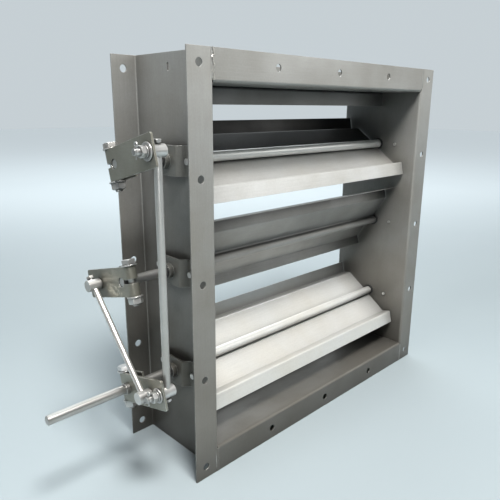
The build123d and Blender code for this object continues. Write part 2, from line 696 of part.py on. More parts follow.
clamp_bolt_middle.part.label = "clamp_bolt_middle"
export_step(clamp_bolt_middle.part, "parts/clamp_bolt_middle.step")
clamp_bolt_bottom.part.label = "clamp_bolt_bottom"
export_step(clamp_bolt_bottom.part, "parts/clamp_bolt_bottom.step")
clamp_washers_top.part.label = "clamp_washers_top"
export_step(clamp_washers_top.part, "parts/clamp_washers_top.step")
clamp_washers_middle.part.label = "clamp_washers_middle"
export_step(clamp_washers_middle.part, "parts/clamp_washers_middle.step")
clamp_washers_bottom.part.label = "clamp_washers_bottom"
export_step(clamp_washers_bottom.part, "parts/clamp_washers_bottom.step")
clamp_nut_top.part.label = "clamp_nut_top"
export_step(clamp_nut_top.part, "parts/clamp_nut_top.step")
clamp_nut_middle.part.label = "clamp_nut_middle"
export_step(clamp_nut_middle.part, "parts/clamp_nut_middle.step")
clamp_nut_bottom.part.label = "clamp_nut_bottom"
export_step(clamp_nut_bottom.part, "parts/clamp_nut_bottom.step")
crank_pin_middle.part.label = "crank_pin_middle"
export_step(crank_pin_middle.part, "parts/crank_pin_middle.step")
link_rod_vertical.part.label = "link_rod_vertical"
export_step(link_rod_vertical.part, "parts/link_rod_vertical.step")
rod_swivels_vertical.part.label = "rod_swivels_vertical"
export_step(rod_swivels_vertical.part, "parts/rod_swivels_vertical.step")
rod_set_screws_vertical.part.label = "rod_set_screws_vertical"
export_step(rod_set_screws_vertical.part, "parts/rod_set_screws_vertical.step")
rod_washers_vertical.part.label = "rod_washers_vertical"
export_step(rod_washers_vertical.part, "parts/rod_washers_vertical.step")
rod_nuts_vertical.part.label = "rod_nuts_vertical"
export_step(rod_nuts_vertical.part, "parts/rod_nuts_vertical.step")
split_pins_vertical.part.label = "split_pins_vertical"
export_step(split_pins_vertical.part, "parts/split_pins_vertical.step")
link_rod_diagonal.part.label = "link_rod_diagonal"
export_step(link_rod_diagonal.part, "parts/link_rod_diagonal.step")
rod_swivels_diagonal.part.label = "rod_swivels_diagonal"
export_step(rod_swivels_diagonal.part, "parts/rod_swivels_diagonal.step")
rod_set_screws_diagonal.part.label = "rod_set_screws_diagonal"
export_step(rod_set_screws_diagonal.part, "parts/rod_set_screws_diagonal.step")
rod_clip_diagonal.part.label = "rod_clip_diagonal"
export_step(rod_clip_diagonal.part, "parts/rod_clip_diagonal.step")
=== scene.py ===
import math
import random

import bpy
import bmesh
from mathutils import Matrix, Vector


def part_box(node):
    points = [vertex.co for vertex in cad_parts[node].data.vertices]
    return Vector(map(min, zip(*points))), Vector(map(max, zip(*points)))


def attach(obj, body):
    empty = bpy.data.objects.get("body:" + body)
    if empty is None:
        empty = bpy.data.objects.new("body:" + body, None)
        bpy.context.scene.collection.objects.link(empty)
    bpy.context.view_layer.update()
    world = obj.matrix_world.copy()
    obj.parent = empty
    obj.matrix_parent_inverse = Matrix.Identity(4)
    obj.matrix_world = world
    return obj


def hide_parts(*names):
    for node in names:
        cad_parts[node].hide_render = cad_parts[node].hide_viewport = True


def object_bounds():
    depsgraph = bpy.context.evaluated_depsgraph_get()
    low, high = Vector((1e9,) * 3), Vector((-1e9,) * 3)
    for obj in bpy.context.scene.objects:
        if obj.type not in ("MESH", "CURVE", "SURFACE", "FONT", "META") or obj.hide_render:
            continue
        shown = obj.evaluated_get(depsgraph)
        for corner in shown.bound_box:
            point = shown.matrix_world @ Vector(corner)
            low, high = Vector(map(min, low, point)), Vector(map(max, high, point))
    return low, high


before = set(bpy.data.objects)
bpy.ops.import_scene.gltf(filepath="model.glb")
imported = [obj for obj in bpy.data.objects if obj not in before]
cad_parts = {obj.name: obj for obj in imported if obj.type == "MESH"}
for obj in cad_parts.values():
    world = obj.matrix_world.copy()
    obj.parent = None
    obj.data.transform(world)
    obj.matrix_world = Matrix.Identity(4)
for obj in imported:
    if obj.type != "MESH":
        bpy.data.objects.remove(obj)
CAD_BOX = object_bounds()
scene = bpy.context.scene

# ---------------------------------------------------------------- camera
R = ((0.7141521830263077, -0.6999730751530387, 0.004934930552414102),
     (-0.1798125263623862, -0.19025923210166343, -0.9651263544030189),
     (0.6765013783001, 0.6883597305630853, -0.2617379729752283))
cam_data = bpy.data.cameras.new("camera")
cam = bpy.data.objects.new("camera", cam_data)
scene.collection.objects.link(cam)
cam_data.sensor_width = 36.0
cam_data.lens = 527.2774 * 36.0 / 500.0
cam_data.clip_start, cam_data.clip_end = 0.02, 60.0
right, down, fwd = Vector(R[0]), Vector(R[1]), Vector(R[2])
m = Matrix(((right.x, -down.x, -fwd.x, -0.679905),
            (right.y, -down.y, -fwd.y, -0.500761),
            (right.z, -down.z, -fwd.z, 0.221926),
            (0, 0, 0, 1)))
cam.matrix_world = m
scene.camera = cam


# ---------------------------------------------------------------- materials
def nodes_of(mat):
    mat.use_nodes = True
    nt = mat.node_tree
    for n in list(nt.nodes):
        nt.nodes.remove(n)
    return nt


def metal(name, base, rough=0.4, metallic=0.9, grain=(1.0, 60.0, 60.0), grain_amt=0.06,
          cloud=0.08, rough_var=0.10, bump=0.12, spots=0.0, wear=0.35, bevel=0.0006,
          tint=(1.0, 0.97, 0.92), recess_shade=0.0, reach=0.09, bottom_shade=None, fine=420.0, deep=0.35, ridge_light=None):
    """Sheet or bar metal: long fine grain, soft cloudy tarnish and lighter worn edges."""
    mat = bpy.data.materials.new(name)
    nt = nodes_of(mat)
    N, L = nt.nodes.new, nt.links.new
    out = N("ShaderNodeOutputMaterial")
    bsdf = N("ShaderNodeBsdfPrincipled")
    L(bsdf.outputs["BSDF"], out.inputs["Surface"])
    bsdf.inputs["Metallic"].default_value = metallic
    tc = N("ShaderNodeTexCoord")
    # long grain of the rolled or drawn metal
    mp = N("ShaderNodeMapping")
    mp.inputs["Scale"].default_value = grain
    L(tc.outputs["Object"], mp.inputs["Vector"])
    g = N("ShaderNodeTexNoise")
    g.inputs["Scale"].default_value = 22.0
    g.inputs["Detail"].default_value = 5.0
    g.inputs["Roughness"].default_value = 0.62
    L(mp.outputs["Vector"], g.inputs["Vector"])
    # cloudy tarnish
    c = N("ShaderNodeTexNoise")
    c.inputs["Scale"].default_value = 9.0
    c.inputs["Detail"].default_value = 6.0
    c.inputs["Roughness"].default_value = 0.55
    L(tc.outputs["Object"], c.inputs["Vector"])
    # fine mottling
    f = N("ShaderNodeTexNoise")
    f.inputs["Scale"].default_value = fine
    f.inputs["Detail"].default_value = 3.0
    L(tc.outputs["Object"], f.inputs["Vector"])
    # tarnish colour
    mix = N("ShaderNodeMix")
    mix.data_type = "RGBA"
    mix.inputs["A"].default_value = (base[0], base[1], base[2], 1.0)
    dark = tuple(base[i] * (1.0 - 2.2 * cloud) * tint[i] for i in range(3))
    mix.inputs["B"].default_value = (dark[0], dark[1], dark[2], 1.0)
    cr = N("ShaderNodeMapRange")
    cr.inputs["From Min"].default_value = 0.35
    cr.inputs["From Max"].default_value = 0.70
    L(c.outputs["Fac"], cr.inputs["Value"])
    L(cr.outputs["Result"], mix.inputs["Factor"])
    # grain and mottling as a brightness factor
    gr = N("ShaderNodeMapRange")
    gr.inputs["From Min"].default_value = 0.25
    gr.inputs["From Max"].default_value = 0.75
    gr.inputs["To Min"].default_value = 1.0 - grain_amt
    gr.inputs["To Max"].default_value = 1.0 + grain_amt
    L(g.outputs["Fac"], gr.inputs["Value"])
    fr = N("ShaderNodeMapRange")
    fr.inputs["From Min"].default_value = 0.3
    fr.inputs["From Max"].default_value = 0.7
    fr.inputs["To Min"].default_value = 0.965
    fr.inputs["To Max"].default_value = 1.035
    L(f.outputs["Fac"], fr.inputs["Value"])
    mul = N("ShaderNodeMath")
    mul.operation = "MULTIPLY"
    L(gr.outputs["Result"], mul.inputs[0])
    L(fr.outputs["Result"], mul.inputs[1])
    hsv = N("ShaderNodeHueSaturation")
    L(mix.outputs["Result"], hsv.inputs["Color"])
    L(mul.outputs["Value"], hsv.inputs["Value"])
    colour = hsv.outputs["Color"]
    # painted shade: ambient occlusion darkens the colour in corners and recesses
    if recess_shade:
        ao = N("ShaderNodeAmbientOcclusion")
        ao.samples = 16
        ao.inputs["Distance"].default_value = reach
        ar = N("ShaderNodeMapRange")
        ar.inputs["From Min"].default_value = deep
        ar.inputs["From Max"].default_value = 0.97
        ar.inputs["To Min"].default_value = 1.0 - recess_shade
        ar.inputs["To Max"].default_value = 1.0
        L(ao.outputs["AO"], ar.inputs["Value"])
        gm = N("ShaderNodeHueSaturation")
        L(colour, gm.inputs["Color"])
        L(ar.outputs["Result"], gm.inputs["Value"])
        colour = gm.outputs["Color"]
    # painted light: the rounded wrap over the shaft gets a bright colour, the flat plate behind it keeps its
    # painted dark
    if ridge_light:
        rp = N("ShaderNodeVectorMath")
        rp.operation = "SUBTRACT"
        L(tc.outputs["Object"], rp.inputs[0])
        rp.inputs[1].default_value = (0.0, ridge_light[0], ridge_light[1])
        rq = N("ShaderNodeVectorMath")
        rq.operation = "MULTIPLY"
        L(rp.outputs["Vector"], rq.inputs[0])
        rq.inputs[1].default_value = (0.0, 1.0, 1.0)
        rl = N("ShaderNodeVectorMath")
        rl.operation = "LENGTH"
        L(rq.outputs["Vector"], rl.inputs[0])
        rm = N("ShaderNodeMapRange")
        rm.interpolation_type = "SMOOTHSTEP"
        rm.inputs["From Min"].default_value = 0.0078
        rm.inputs["From Max"].default_value = 0.0110
        rm.inputs["To Min"].default_value = 1.0
        rm.inputs["To Max"].default_value = 0.0
        L(rl.outputs["Value"], rm.inputs["Value"])
        rc = N("ShaderNodeMix")
        rc.data_type = "RGBA"
        L(rm.outputs["Result"], rc.inputs["Factor"])
        L(colour, rc.inputs["A"])
        rc.inputs["B"].default_value = (ridge_light[2], ridge_light[2], ridge_light[2] * 0.97, 1.0)
        colour = rc.outputs["Result"]
    # painted shade: darker towards the bottom, a little brown
    if bottom_shade:
        sx = N("ShaderNodeSeparateXYZ")
        L(tc.outputs["Object"], sx.inputs["Vector"])
        zr = N("ShaderNodeMapRange")
        zr.interpolation_type = "SMOOTHSTEP"
        zr.inputs["From Min"].default_value = -0.31
        zr.inputs["From Max"].default_value = 0.30
        zr.inputs["To Min"].default_value = 1.0
        zr.inputs["To Max"].default_value = 0.0
        L(sx.outputs["Z"], zr.inputs["Value"])
        fm_ = N("ShaderNodeMix")
        fm_.data_type = "RGBA"
        fm_.blend_type = "MULTIPLY"
        L(zr.outputs["Result"], fm_.inputs["Factor"])
        L(colour, fm_.inputs["A"])
        fm_.inputs["B"].default_value = (bottom_shade[0], bottom_shade[1], bottom_shade[2], 1.0)
        colour = fm_.outputs["Result"]
    # edges rubbed brighter: where the rounded normal leaves the true one
    bev = N("ShaderNodeBevel")
    bev.samples = 4
    bev.inputs["Radius"].default_value = bevel
    geo = N("ShaderNodeNewGeometry")
    dot = N("ShaderNodeVectorMath")
    dot.operation = "DOT_PRODUCT"
    L(bev.outputs["Normal"], dot.inputs[0])
    L(geo.outputs["Normal"], dot.inputs[1])
    er = N("ShaderNodeMapRange")
    er.inputs["From Min"].default_value = 0.995
    er.inputs["From Max"].default_value = 0.86
    er.inputs["To Min"].default_value = 0.0
    er.inputs["To Max"].default_value = wear
    L(dot.outputs["Value"], er.inputs["Value"])
    em = N("ShaderNodeMath")
    em.operation = "MULTIPLY"
    wn = N("ShaderNodeTexNoise")
    wn.inputs["Scale"].default_value = 60.0
    wn.inputs["Detail"].default_value = 3.0
    L(tc.outputs["Object"], wn.inputs["Vector"])
    wr = N("ShaderNodeMapRange")
    wr.inputs["From Min"].default_value = 0.35
    wr.inputs["From Max"].default_value = 0.6
    L(wn.outputs["Fac"], wr.inputs["Value"])
    L(er.outputs["Result"], em.inputs[0])
    L(wr.outputs["Result"], em.inputs[1])
    edge = N("ShaderNodeMix")
    edge.data_type = "RGBA"
    edge.inputs["B"].default_value = (0.86, 0.855, 0.83, 1.0)
    L(em.outputs["Value"], edge.inputs["Factor"])
    L(colour, edge.inputs["A"])
    L(edge.outputs["Result"], bsdf.inputs["Base Color"])
    # roughness follows the tarnish and the grain
    rr = N("ShaderNodeMapRange")
    rr.inputs["From Min"].default_value = 0.3
    rr.inputs["From Max"].default_value = 0.7
    rr.inputs["To Min"].default_value = max(0.05, rough - rough_var)
    rr.inputs["To Max"].default_value = min(1.0, rough + rough_var)
    L(c.outputs["Fac"], rr.inputs["Value"])
    ra = N("ShaderNodeMath")
    ra.operation = "MULTIPLY_ADD"
    L(g.outputs["Fac"], ra.inputs[0])
    ra.inputs[1].default_value = 0.12
    L(rr.outputs["Result"], ra.inputs[2])
    rs = N("ShaderNodeMath")
    rs.operation = "SUBTRACT"
    L(ra.outputs["Value"], rs.inputs[0])
    rs.inputs[1].default_value = 0.06
    # never polished enough to mirror: keeps the finish even from patch to patch
    rx = N("ShaderNodeMath")
    rx.operation = "MAXIMUM"
    L(rs.outputs["Value"], rx.inputs[0])
    rx.inputs[1].default_value = 0.29
    L(rx.outputs["Value"], bsdf.inputs["Roughness"])
    # bump: grain plus mottling, over the rounded edges
    hs = N("ShaderNodeMath")
    hs.operation = "MULTIPLY_ADD"
    L(g.outputs["Fac"], hs.inputs[0])
    hs.inputs[1].default_value = 0.6
    L(f.outputs["Fac"], hs.inputs[2])
    bmp = N("ShaderNodeBump")
    bmp.inputs["Strength"].default_value = bump
    bmp.inputs["Distance"].default_value = 0.0004
    L(hs.outputs["Value"], bmp.inputs["Height"])
    L(bev.outputs["Normal"], bmp.inputs["Normal"])
    L(bmp.outputs["Normal"], bsdf.inputs["Normal"])
    return mat


M = {}
# painted shade: most of these materials darken their colour in corners and recesses, and some towards the bottom
M["frame_side"] = metal("frame_side", (0.37, 0.37, 0.355), 0.38, 0.40, grain=(26, 26, 1.0), grain_amt=0.06, cloud=0.08, wear=0.55, recess_shade=0.62, reach=0.10, bottom_shade=(0.52, 0.49, 0.45))
M["frame_cross"] = metal("frame_cross", (0.325, 0.325, 0.312), 0.38, 0.40, grain=(1.0, 26, 26), grain_amt=0.06, cloud=0.08, wear=0.55, recess_shade=0.62, reach=0.10, bottom_shade=(0.52, 0.49, 0.45))
# painted light and shade: the blades are one steel, but each gets its own base colour for how it is lit: the
# bottom blade painted bright, the middle blade painted dark, the rear plate of the top blade painted dark for the
# shadow of the top frame member, with a painted light on its wrap ridge
M["blade_top"] = metal("blade_top", (0.52, 0.52, 0.505), 0.36, 0.42, grain=(1.0, 26, 26), grain_amt=0.06, cloud=0.06, wear=0.5, recess_shade=0.60, reach=0.085)
M["blade_top_rear_painted_shadow"] = metal("blade_top_rear_painted_shadow", (0.22, 0.22, 0.212), 0.38, 0.42, grain=(1.0, 26, 26), grain_amt=0.06, cloud=0.08, wear=0.6, recess_shade=0.90, reach=0.12, deep=0.50, ridge_light=(0.0825, 0.46 / 3, 0.80))
M["blade_middle"] = metal("blade_middle", (0.38, 0.375, 0.36), 0.38, 0.42, grain=(1.0, 26, 26), grain_amt=0.07, cloud=0.08, wear=0.6, recess_shade=0.80, reach=0.10)
M["blade_bottom"] = metal("blade_bottom", (0.68, 0.68, 0.66), 0.36, 0.38, grain=(1.0, 26, 26), grain_amt=0.05, cloud=0.04, wear=0.4, recess_shade=0.70, reach=0.075)
M["stop"] = metal("stop", (0.30, 0.30, 0.29), 0.46, 0.5, grain=(1.0, 60, 60), cloud=0.08, recess_shade=0.75, reach=0.08)
M["bracket"] = metal("bracket", (0.27, 0.27, 0.25), 0.40, 0.55, recess_shade=0.6, reach=0.04, bottom_shade=(0.5, 0.48, 0.45), grain=(60, 1.0, 60), cloud=0.12, wear=0.7)
M["bush"] = metal("bush", (0.035, 0.035, 0.035), 0.45, 0.3, grain=(1.0, 30, 30), cloud=0.1, wear=0.15)
M["rod"] = metal("rod", (0.74, 0.735, 0.72), 0.30, 0.80, bottom_shade=(0.55, 0.54, 0.52), grain=(40, 40, 1.0), grain_amt=0.04, cloud=0.08, fine=900.0, bump=0.05)
M["rod_diag"] = metal("rod_diag", (0.74, 0.73, 0.71), 0.32, 0.82, grain=(30, 8, 8), grain_amt=0.04, cloud=0.05, fine=900.0, bump=0.05)
M["shaft"] = metal("shaft", (0.50, 0.495, 0.48), 0.33, 0.85, recess_shade=0.5, reach=0.04, grain=(1.0, 40, 40), grain_amt=0.05, cloud=0.06, rough_var=0.04, fine=900.0, bump=0.05)
M["crank"] = metal("crank", (0.31, 0.303, 0.255), 0.36, 0.72, recess_shade=0.55, reach=0.03, grain=(40, 2.0, 40), grain_amt=0.08, cloud=0.14, wear=1.0, bevel=0.0009)
M["zinc"] = metal("zinc", (0.66, 0.655, 0.64), 0.34, 0.80, recess_shade=0.7, reach=0.012, grain=(30, 30, 30), grain_amt=0.04, cloud=0.10, rough_var=0.05, wear=0.3, bevel=0.0004, fine=1500.0, bump=0.03)
M["weld"] = metal("weld", (0.62, 0.61, 0.58), 0.30, 0.92, grain=(40, 40, 40), grain_amt=0.08, cloud=0.12, wear=0.2)
M["thread"] = metal("thread", (0.40, 0.395, 0.38), 0.34, 0.9, grain=(30, 30, 30), grain_amt=0.05, cloud=0.15, wear=0.5, bevel=0.0002)


def paint(node, mat):
    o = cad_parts[node]
    me = o.data
    if not me.materials:
        me.materials.append(mat)
    for i in range(len(o.material_slots)):
        o.material_slots[i].link = "OBJECT"
        o.material_slots[i].material = mat


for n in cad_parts:
    if n.startswith("frame_side"):
        paint(n, M["frame_side"])
    elif n in ("frame_top", "frame_bottom"):
        paint(n, M["frame_cross"])
    elif n.startswith("blade_stop"):
        paint(n, M["stop"])
    elif n == "corner_welds":
        paint(n, M["frame_side"])
    elif "weld" in n:
        paint(n, M["weld"])
    elif n == "blade_wrap_top":
        paint(n, M["blade_top_rear_painted_shadow"])
    elif n.startswith("blade_") and n.endswith("top"):
        paint(n, M["blade_top"])
    elif n.startswith("blade_") and n.endswith("middle"):
        paint(n, M["blade_middle"])
    elif n.startswith("blade_"):
        paint(n, M["blade_bottom"])
    elif n.startswith("bearing_bracket"):
        paint(n, M["bracket"])
    elif n.startswith("bearing_bush"):
        paint(n, M["bush"])
    elif n.startswith("shaft"):
        paint(n, M["shaft"])
    elif n == "link_rod_vertical":
        paint(n, M["rod"])
    elif n == "link_rod_diagonal":
        paint(n, M["rod_diag"])
    elif n.startswith("lever"):
        paint(n, M["crank"])
    elif n == "drive_collar":
        paint(n, M["shaft"])
    else:
        paint(n, M["zinc"])

# ---------------------------------------------------------------- detail pieces
def frame_of(axis, hint=(1.0, 0.0, 0.0)):
    """Two unit vectors across an axis."""
    w = Vector(axis).normalized()
    h = Vector(hint)
    if abs(w.dot(h)) > 0.95:
        h = Vector((0.0, 1.0, 0.0))
    u = (h - w * h.dot(w)).normalized()
    return u, w.cross(u), w


def finish_mesh(bm, name, body, mat, angle=32.0):
    bmesh.ops.remove_doubles(bm, verts=bm.verts, dist=1e-7)
    bmesh.ops.recalc_face_normals(bm, faces=bm.faces)
    me = bpy.data.meshes.new(name)
    bm.to_mesh(me)
    bm.free()
    for p in me.polygons:
        p.use_smooth = True
    me.set_sharp_from_angle(angle=math.radians(angle))
    me.materials.append(mat)
    o = bpy.data.objects.new(name, me)
    scene.collection.objects.link(o)
    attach(o, body)
    return o


def add_lathe(bm, profile, origin, axis, seg=48, hint=(1.0, 0.0, 0.0)):
    """Turned shape from (radius, height) points; a radius of 0 closes on the axis."""
    u, v, w = frame_of(axis, hint)
    o = Vector(origin)
    rings = []
    for r, h in profile:
        if r <= 0.0:
            rings.append([bm.verts.new(o + w * h)])
        else:
            rings.append([bm.verts.new(o + w * h + (u * math.cos(t) + v * math.sin(t)) * r)
                          for t in (2 * math.pi * k / seg for k in range(seg))])
    closed = profile[0][0] > 0.0 and profile[-1][0] > 0.0
    pairs = list(zip(rings, rings[1:]))
    if closed:
        pairs.append((rings[-1], rings[0]))
    for a, b in pairs:
        for k in range(seg):
            j = (k + 1) % seg
            if len(a) == 1 and len(b) == 1:
                continue
            if len(a) == 1:
                bm.faces.new((a[0], b[k], b[j]))
            elif len(b) == 1:
                bm.faces.new((a[k], a[j], b[0]))
            else:
                bm.faces.new((a[k], a[j], b[j], b[k]))


def add_hex(bm, apothem, h0, h1, origin, axis, turn=0.0, hole=0.0, both=False, hint=(1.0, 0.0, 0.0)):
    """Hexagon with the 30 degree chamfer of a bolt head or nut, and an optional bore."""
    u, v, w = frame_of(axis, hint)
    o = Vector(origin)
    seg = 72
    slope = math.tan(math.radians(30.0))

    def hexr(t):
        q = (t - turn + math.pi / 6) % (math.pi / 3) - math.pi / 6
        return apothem / math.cos(q)

    def ring(f):
        out = []
        for k in range(seg):
            t = 2 * math.pi * k / seg
            r, h = f(t)
            out.append(bm.verts.new(o + w * h + (u * math.cos(t) + v * math.sin(t)) * r))
        return out

    rc = apothem * 0.95
    rings = []
    if hole:
        rings.append(ring(lambda t: (hole, h1 - 0.0004)))
        rings.append(ring(lambda t: (hole + 0.0004, h1)))
    rings.append(ring(lambda t: (rc, h1)))
    rings.append(ring(lambda t: (hexr(t), h1 - (hexr(t) - rc) * slope)))
    if both:
        rings.append(ring(lambda t: (hexr(t), h0 + (hexr(t) - rc) * slope)))
        rings.append(ring(lambda t: (rc, h0)))
    else:
        rings.append(ring(lambda t: (hexr(t), h0 + 0.0005)))
        rings.append(ring(lambda t: (apothem * 0.98, h0 + 0.0003)))
        rings.append(ring(lambda t: (apothem * 0.96, h0)))
    if hole:
        rings.append(ring(lambda t: (hole + 0.0004, h0)))
        rings.append(ring(lambda t: (hole, h0 + 0.0004)))
        rings.append(rings[0])
    for a, b in zip(rings, rings[1:]):
        for k in range(seg):
            j = (k + 1) % seg
            bm.faces.new((a[k], a[j], b[j], b[k]))
    if not hole:
        c = bm.verts.new(o + w * h1)
        d = bm.verts.new(o + w * h0)
        for k in range(seg):
            j = (k + 1) % seg
            bm.faces.new((rings[0][k], rings[0][j], c))
            bm.faces.new((rings[-1][k], rings[-1][j], d))


def thread_profile(r, h0, h1, pitch=0.0015, depth=0.0006):
    """Zigzag of a screw thread between two heights, ends chamfered."""
    n = max(2, int(abs(h1 - h0) / pitch))
    step = (h1 - h0) / n
    out = []
    for k in range(n):
        out.append((r - depth, h0 + step * k + step * 0.08))
        out.append((r, h0 + step * (k + 0.42)))
        out.append((r, h0 + step * (k + 0.58)))
        out.append((r - depth, h0 + step * (k + 0.92)))
    return out


C15, S15 = math.cos(math.radians(15.0)), math.sin(math.radians(15.0))
UP15 = (0.0, S15, C15)


def mid_of(node):
    a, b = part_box(node)
    return (a + b) / 2


# clamp bolts, washers and nuts
for k, body in (("top", "top_blade"), ("middle", "middle_blade"), ("bottom", "drive_blade")):
    base = mid_of("clamp_washers_" + k)
    up = Vector(UP15)
    turn = {"top": 0.22, "middle": 0.55, "bottom": 0.05}[k]
    bm = bmesh.new()
    add_hex(bm, 0.0085, 0.022, 0.0286, base, up, turn)
    finish_mesh(bm, "clamp_bolt_head_" + k, body, M["zinc"], 20.0)
    bm = bmesh.new()
    shank = [(0.0, 0.0222), (0.005, 0.0222), (0.005, -0.006)] + thread_profile(0.005, -0.007, -0.0322)
    shank += [(0.0042, -0.033), (0.0, -0.033)]
    add_lathe(bm, shank, base, up, 40)
    sh = finish_mesh(bm, "clamp_bolt_shank_" + k, body, M["thread"])
    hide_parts("clamp_bolt_" + k)
    bm = bmesh.new()
    for s in (-1.0, 1.0):
        e = 0.0004
        add_lathe(bm, [(0.0053, 0.0200), (0.0105 - e, 0.0200), (0.0105, 0.0200 + e), (0.0105, 0.0220 - e),
                       (0.0105 - e, 0.0220), (0.0053, 0.0220)], base, up * s, 56)
    w_ = finish_mesh(bm, "clamp_washer_pair_" + k, body, M["zinc"])
    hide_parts("clamp_washers_" + k)
    bm = bmesh.new()
    add_hex(bm, 0.0085, 0.022, 0.030, base, up * -1.0, turn + 0.3, hole=0.0050, both=True)
    n_ = finish_mesh(bm, "clamp_hex_nut_" + k, body, M["zinc"], 20.0)
    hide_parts("clamp_nut_" + k)

# bracket screws with a washer face
SHAFT_Y = 0.0825
for side, sx in (("left", -1.0), ("right", 1.0)):
    bm = bmesh.new()
    rnd = random.Random(7)
    for z in (0.46 / 3, 0.0, -0.46 / 3):
        for dy in (-0.0365, 0.0365):
            o = (sx * 0.255, SHAFT_Y + dy, z)
            ax = (sx, 0.0, 0.0)
            add_lathe(bm, [(0.0, 0.0), (0.0046, 0.0), (0.0048, 0.0002), (0.0048, 0.0006), (0.0044, 0.0009), (0.0, 0.0009)], o, ax, 40)
            add_hex(bm, 0.0040, 0.0008, 0.0040, o, ax, rnd.uniform(0, 1.0), hint=(0.0, 1.0, 0.0))
            add_lathe(bm, [(0.0, 0.0001), (0.0030, 0.0001), (0.0030, -0.0060), (0.0026, -0.0071), (0.0, -0.0071)], o, ax, 28)
    b_s = finish_mesh(bm, "bracket_hex_screws_" + side, "frame", M["zinc"], 20.0)
    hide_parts("bracket_screws_" + side)

# vertical rod: stud nuts, washers and set screws
ARM = -0.342
pin_v = []
for z in (0.46 / 3, -0.46 / 3):
    pin_v.append(Vector((0.0, SHAFT_Y - 0.077 * C15, z + 0.077 * S15)))
bm_n, bm_w, bm_s, bm_t = bmesh.new(), bmesh.new(), bmesh.new(), bmesh.new()
out_ax = (-1.0, 0.0, 0.0)
for i, p in enumerate(pin_v):
    o = Vector((ARM, p.y, p.z))
    add_hex(bm_n, 0.0065, 0.0043, 0.0108, o, out_ax, 0.35 + 0.4 * i, hole=0.0040, both=True, hint=(0.0, 1.0, 0.0))
    rw = 0.011 if i == 0 else 0.010
    add_lathe(bm_w, [(0.0042, 0.0002), (rw - 0.0003, 0.0002), (rw, 0.0005), (rw, 0.0014), (rw - 0.0004, 0.0020), (0.0042, 0.0020)], o, out_ax, 56, (0.0, 1.0, 0.0))
    add_lathe(bm_w, [(0.0043, 0.0022), (0.0070, 0.0022), (0.0073, 0.0025), (0.0073, 0.0039), (0.0070, 0.0042), (0.0043, 0.0042)], o, out_ax, 48, (0.0, 1.0, 0.0))
    add_lathe(bm_t, [(0.0, 0.0109)] + [(0.0036, 0.0109)] + thread_profile(0.00425, 0.0110, 0.0133, 0.00125, 0.0005) + [(0.0036, 0.0134), (0.0, 0.0134)], o, out_ax, 40, (0.0, 1.0, 0.0))
    add_lathe(bm_t, [(0.0, 0.0159)] + [(0.0036, 0.0159)] + thread_profile(0.00425, 0.0160, 0.0176, 0.00125, 0.0005) + [(0.0034, 0.0182), (0.0, 0.0182)], o, out_ax, 40, (0.0, 1.0, 0.0))
    s = 1.0 if i == 0 else -1.0
    q = Vector((-0.3285, p.y, p.z))
    ax = (0.0, 0.0, s)
    add_lathe(bm_s, [(0.0, 0.0030)] + [(0.0028, 0.0030)] + thread_profile(0.0030, 0.0031, 0.0094, 0.001, 0.0004) + [(0.0028, 0.0096), (0.0, 0.0096)], q, ax, 32)
    add_hex(bm_s, 0.0046, 0.0095, 0.0133, q, ax, 0.3)
o_ = finish_mesh(bm_n, "swivel_nuts_vertical", "vertical_link", M["zinc"], 20.0)
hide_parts("rod_nuts_vertical")
o_ = finish_mesh(bm_w, "swivel_washers_vertical", "vertical_link", M["zinc"])
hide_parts("rod_washers_vertical")
o_ = finish_mesh(bm_s, "swivel_set_screws_vertical", "vertical_link", M["zinc"], 20.0)
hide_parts("rod_set_screws_vertical")
finish_mesh(bm_t, "stud_threads_vertical", "vertical_link", M["thread"])

# rippled weld bead up the front corner seams
for name, sx, sz, strength in (("left_top", -1.0, 1.0, 1.0), ("left_bottom", -1.0, -1.0, 0.45)):
    bm = bmesh.new()
    rnd = random.Random(11)
    n_len, n_w = 84, 10
    z0, z1 = 0.2525, 0.2896
    rows = []
    for i in range(n_len + 1):
        t = i / n_len
        z = sz * (z0 + (z1 - z0) * t)
        wig = 0.0007 * math.sin(t * 17.0) + 0.0004 * math.sin(t * 41.0 + 1.0)
        half = (0.0020 + 0.0004 * math.sin(t * 29.0)) * (0.7 + 0.3 * strength)
        rip = 0.5 + 0.5 * math.cos(2 * math.pi * t * 21.0)
        row = []
        for j in range(n_w + 1):
            c = -1.0 + 2.0 * j / n_w
            lag = 0.0006 * (1.0 - c * c) * sz
            y = -(0.00045 + 0.00022 * rip) * strength * (1.0 - c * c) ** 0.6 if abs(c) < 1.0 else 0.0
            row.append(bm.verts.new((sx * 0.2502 + wig + half * c, y + 0.00004, z + lag)))
        rows.append(row)
    for a, b in zip(rows, rows[1:]):
        for j in range(n_w):
            bm.faces.new((a[j], a[j + 1], b[j + 1], b[j]))
    # back face, so that the bead is a closed body
    back = [[bm.verts.new((r[j].co.x, 0.0006, r[j].co.z)) for j in (0, n_w)] for r in rows]
    for a, b in zip(back, back[1:]):
        bm.faces.new((a[0], a[1], b[1], b[0]))
    for r0, r1, a, b in zip(rows, rows[1:], back, back[1:]):
        bm.faces.new((r0[0], r1[0], b[0], a[0]))
        bm.faces.new((r0[n_w], r1[n_w], b[1], a[1]))
    bm.faces.new([*rows[0], back[0][1], back[0][0]])
    bm.faces.new([*rows[-1], back[-1][1], back[-1][0]])
    finish_mesh(bm, "corner_bead_" + name, "frame", M["weld"] if strength > 0.9 else M["frame_side"], 60.0)

# ---------------------------------------------------------------- stage
FLOOR_Z = CAD_BOX[0].z


def stage_plane(name, size, z):
    bm = bmesh.new()
    n = 2
    for i in range(n + 1):
        for j in range(n + 1):
            bm.verts.new(((i / n - 0.5) * size, (j / n - 0.5) * size, z))
    bm.verts.ensure_lookup_table()
    for i in range(n):
        for j in range(n):
            a = i * (n + 1) + j
            bm.faces.new([bm.verts[k] for k in (a, a + n + 1, a + n + 2, a + 1)])
    me = bpy.data.meshes.new(name)
    bm.to_mesh(me)
    bm.free()
    o = bpy.data.objects.new(name, me)
    scene.collection.objects.link(o)
    return o


